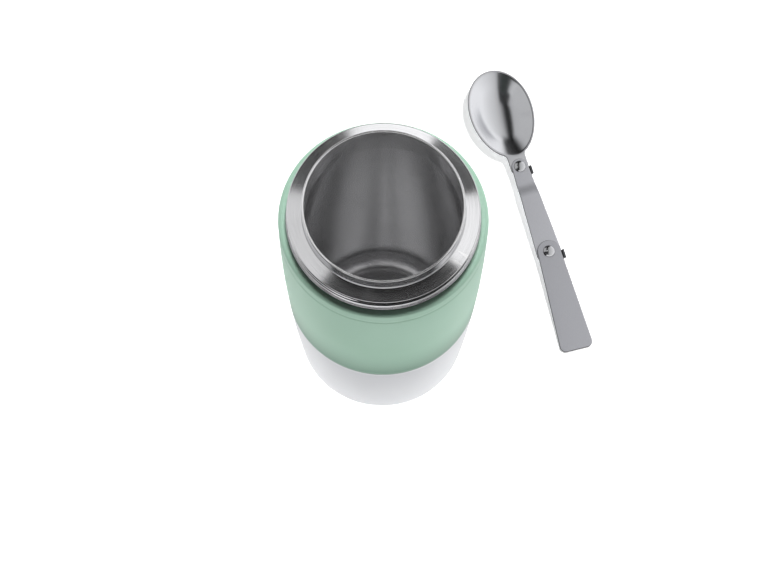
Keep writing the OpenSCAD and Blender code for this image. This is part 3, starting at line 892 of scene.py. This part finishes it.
spoon_pieces = [
    make_piece(name, points, faces, finish, body, node_name, plan)
    for name, (points, faces, plan), finish, body, node_name, slot in (
        ("spoon_bowl_pressed", bowl, bowl_steel, "bowl", "spoon_bowl", "spoon_steel"),
        ("spoon_link_joggled", link, spoon_steel, "link", "spoon_link", "spoon_steel"),
        ("spoon_grip_plate", grip, grip_steel_painted_shade, "grip", "spoon_grip", "spoon_steel"),
        ("bowl_rivet_domed", bowl_rivet, rivet_steel, "link", "bowl_rivet", "rivet_steel"),
        ("grip_rivet_domed", grip_rivet, rivet_steel, "link", "grip_rivet", "rivet_steel"))]


# ---- studio ----
WHITE = (1.0, 1.0, 1.0, 1.0)
screen_z = 200.0         # height of the screens over the spoon


def stage_sheet(name, x0, x1, y0, y1, z, material):
    """A level sheet that is no part of the object, between two corners in millimetres."""
    mesh = bpy.data.meshes.new(name)
    corners = np.array(((x0, y0, 0), (x1, y0, 0), (x1, y1, 0), (x0, y1, 0))) * MM
    mesh.from_pydata(corners.tolist(), [], [(0, 1, 2, 3)])
    mesh.materials.append(material)
    sheet = bpy.data.objects.new(name, mesh)
    sheet.location.z = z * MM
    bpy.context.scene.collection.objects.link(sheet)
    return sheet


def studio_floor():
    """Pale floor: a lit matt surface under a plain low level of white. Mirrors see it dark in front of
    the jar."""
    made, tree, _, place = new_material("pale_floor")
    rays = tree.nodes.new("ShaderNodeLightPath").outputs
    in_front = mapped(tree, parts_of(tree, place)[1], -0.07, -0.03, 0.97, 0.0)
    pale = (0.86, 0.86, 0.86, 1.0)
    colour = mixed(tree, times(tree, in_front, rays["Is Glossy Ray"]), pale, srgb(20, 20, 20))
    matt = add_node(tree, "ShaderNodeBsdfDiffuse", {"Color": colour}).outputs[0]
    reach = add_node(tree, "ShaderNodeVectorMath", {0: place}, operation="LENGTH").outputs["Value"]
    seen = maths(tree, "MAXIMUM", rays["Is Camera Ray"], rays["Is Transmission Ray"])
    strength = plus(tree, times(tree, seen, mapped(tree, reach, 0.35, 1.1, 0.33, 1.0)),
                    times(tree, rays["Is Diffuse Ray"], 0.82))
    level = add_node(tree, "ShaderNodeEmission", {"Color": WHITE, "Strength": strength}).outputs[0]
    both = add_node(tree, "ShaderNodeAddShader", {0: matt, 1: level}).outputs[0]
    set_inputs(tree.nodes["Material Output"], {"Surface": both})
    half, floor_z = 6000.0, -0.2
    return stage_sheet("floor", -half, half, -half, half, floor_z, made)


def band(tree, value, low, high, soft):
    """1 between low and high, falling to 0 over soft at both ends."""
    rise = mapped(tree, value, low - soft / 2, low + soft / 2, 0.0, 1.0)
    return times(tree, rise, mapped(tree, value, high - soft / 2, high + soft / 2, 1.0, 0.0))


def studio_world():
    """Low light from all round for matt surfaces, white for the camera. Reflections see a dark room with
    light screens, placed by two angles round an axis that leans back from the zenith: turn goes round it,
    from the right over the front, and away is the distance from it."""
    world = bpy.data.worlds.new("studio")
    bpy.context.scene.world = world
    world.use_nodes = True
    tree = world.node_tree
    way = tree.nodes.new("ShaderNodeTexCoord").outputs["Generated"]
    rays = tree.nodes.new("ShaderNodeLightPath").outputs
    lean = np.radians(20.5)

    def along(x, y, z):
        return add_node(tree, "ShaderNodeVectorMath", {0: way, 1: (x, y, z)},
                        operation="DOT_PRODUCT").outputs["Value"]

    def degrees(value):
        return times(tree, value, 180 / np.pi)

    right, front, up = along(1, 0, 0), along(0, -np.cos(lean), np.sin(lean)), along(0, 0, 1)
    away = degrees(maths(tree, "ARCCOSINE", along(0, np.sin(lean), np.cos(lean))))
    turn = degrees(maths(tree, "ARCTAN2", front, right))
    height = degrees(maths(tree, "ARCSINE", up))
    # level, turn from and to, its softness, distance from and to
    screens = ((1.04, -23, 31, 5, 4, 28), (0.73, 133, 181, 4, 4, 40), (0.73, -181, -157, 5, 4, 40),
               (1.3, -109, -64, 5, 3, 26), (0.03, -150, -112, 26, 5, 26), (0.06, -60, -28, 4, 4, 26),
               (0.05, 98, 102, 3, 5, 20), (0.04, -155, -152, 3, 5, 20), (1.0, -180, 180, 1, -4, 4),
               (0.95, -74, 40, 14, 28, 95), (0.52, 135, 181, 8, 40, 95), (0.52, -181, -133, 8, 28, 95))
    mirrored = 0.027
    for level, low, high, soft, near, far in screens:
        shape = times(tree, band(tree, turn, low, high, soft), band(tree, away, near, far, 2.0))
        mirrored = plus(tree, mirrored, times(tree, shape, level))
    # a low bright strip in front, for the edges; what it lights by way of the steel is left out
    strip = times(tree, band(tree, turn, 40, 134, 16), band(tree, height, 6, 38, 6))
    direct = maths(tree, "LESS_THAN", rays["Diffuse Depth"], 0.5)
    mirrored = plus(tree, mirrored, times(tree, times(tree, strip, direct), 1.05))
    # light for matt surfaces: a low sky, stronger at the sides than in front and behind, and on the right
    low_sky = times(tree, mapped(tree, height, 12.0, 24.0, 1.0, 0.0),
                    mapped(tree, maths(tree, "ABSOLUTE", front), 0.2, 0.9, 1.0, 0.3))
    matt = plus(tree, times(tree, low_sky, mapped(tree, right, -1.0, 1.0, 0.7, 1.9, "LINEAR")), 0.02)
    in_mirror = maths(tree, "MAXIMUM", rays["Is Glossy Ray"], rays["Is Transmission Ray"])
    level = add_node(tree, "ShaderNodeMix", {0: in_mirror, 2: matt, 3: mirrored}).outputs[0]
    level = add_node(tree, "ShaderNodeMix", {0: rays["Is Camera Ray"], 2: level, 3: 1.0}).outputs[0]
    set_inputs(tree.nodes["Background"], {"Color": WHITE, "Strength": level})


def far_dark(tree, x, y):
    """1 far back on the screen's middle, where the steep end of the bowl looks; x and y are in mm."""
    return times(tree, mapped(tree, y, 330.0, 430.0, 0.0, 0.93),
                 mapped(tree, maths(tree, "ABSOLUTE", x), 60.0, 170.0, 1.0, 0.0))


def spoon_screen(name, x0, x1, y0, y1):
    """Level screen over the spoon, seen in its steel only: light on the left, a dark strip, then light that
    grows to the right."""
    made, tree, _, place = new_material(name)
    x, y, _ = (in_mm(tree, value) for value in parts_of(tree, place))
    growing = maths(tree, "POWER", mapped(tree, x, 80.0, 420.0, 0.0, 1.0, "LINEAR"), 0.6)
    growing = plus(tree, times(tree, growing, 0.46), mapped(tree, x, 10.0, 82.0, 0.0, 0.5))
    left = mapped(tree, x, -76.0, -34.0, 0.52, 0.0)
    level = plus(tree, maths(tree, "MAXIMUM", growing, left), 0.004)
    level = times(tree, level, maths(tree, "SUBTRACT", 1.0, far_dark(tree, x, y)))
    glow = add_node(tree, "ShaderNodeEmission", {"Color": WHITE, "Strength": level}).outputs[0]
    set_inputs(tree.nodes["Material Output"], {"Surface": glow})
    screen = stage_sheet(name, x0, x1, y0, y1, screen_z, made)
    screen.visible_camera = screen.visible_diffuse = screen.visible_shadow = False


def soft_box(name, place, aim, size, watts):
    """Square soft light at place, turned to aim, that mirrors don't see."""
    lamp = bpy.data.lights.new(name, "AREA")
    lamp.shape = "SQUARE"
    lamp.size = size
    lamp.energy = watts
    made = bpy.data.objects.new(name, lamp)
    towards = aim - place
    back = -towards / np.linalg.norm(towards)
    right = np.cross((0, 0, 1), back)
    right /= np.linalg.norm(right)
    set_place(made, right, np.cross(back, right), back, place)
    made.visible_camera = made.visible_glossy = False
    bpy.context.scene.collection.objects.link(made)
    return made


def set_place(thing, right, up, back, place):
    """Puts a lamp or camera at place, with its three axes."""
    matrix = np.eye(4)
    matrix[:3, 0], matrix[:3, 1], matrix[:3, 2], matrix[:3, 3] = right, up, back, place
    thing.matrix_world = Matrix(matrix.tolist())


def studio_camera():
    """Camera from its pitch and roll, its distance, and where the origin lies off its axis."""
    pitch, roll = np.radians(69.493), np.radians(-0.947)
    distance, off_right, off_down = 1222.618, -2.042, 21.356
    ahead = np.array((0, np.cos(pitch), -np.sin(pitch)))
    down = np.array((0, -np.sin(pitch), -np.cos(pitch)))
    level = np.array((1.0, 0, 0))
    right = np.cos(roll) * level + np.sin(roll) * down
    down = np.cos(roll) * down - np.sin(roll) * level
    place = -(off_right * right + off_down * down + distance * ahead) * MM
    lens = bpy.data.cameras.new("camera")
    lens.sensor_width = 36.0
    lens.lens = 111.92
    lens.clip_start, lens.clip_end = 0.05, 50.0
    camera = bpy.data.objects.new("camera", lens)
    set_place(camera, right, -down, -ahead, place)
    bpy.context.scene.collection.objects.link(camera)
    bpy.context.scene.camera = camera


floor = studio_floor()
studio_world()
studio_camera()
spoon_screen("screen_right", 62, 420, -300, 470)
spoon_screen("screen_back", -300, 62, 95, 470)
aim = np.array((0.02, 0.02, 0.07))      # what the lamps point at, in metres
linked = {}
for name, members in (("spoon_only", spoon_pieces), ("jar_only", jar_pieces), ("floor_only", [floor])):
    linked[name] = bpy.data.collections.new(name)
    for piece in members:
        linked[name].objects.link(piece)
# name, place, size, watts, what it lights, what casts shadows in it
for name, place, size, watts, lit, shading in (
        ("floor_right", (0.45, 0.3, 1.42), 0.22, 26.0, "floor_only", "spoon_only"),
        ("floor_left", (-1.0, 0.1, 1.0), 0.9, 8.0, "floor_only", "spoon_only"),
        ("jar_back", (0.06, 0.68, 1.45), 0.36, 23.0, "jar_only", "jar_only")):
    lamp = soft_box(name, np.array(place), aim, size, watts)
    lamp.light_linking.receiver_collection = linked[lit]
    lamp.light_linking.blocker_collection = linked[shading]

bpy.context.scene.view_settings.view_transform = "Standard"
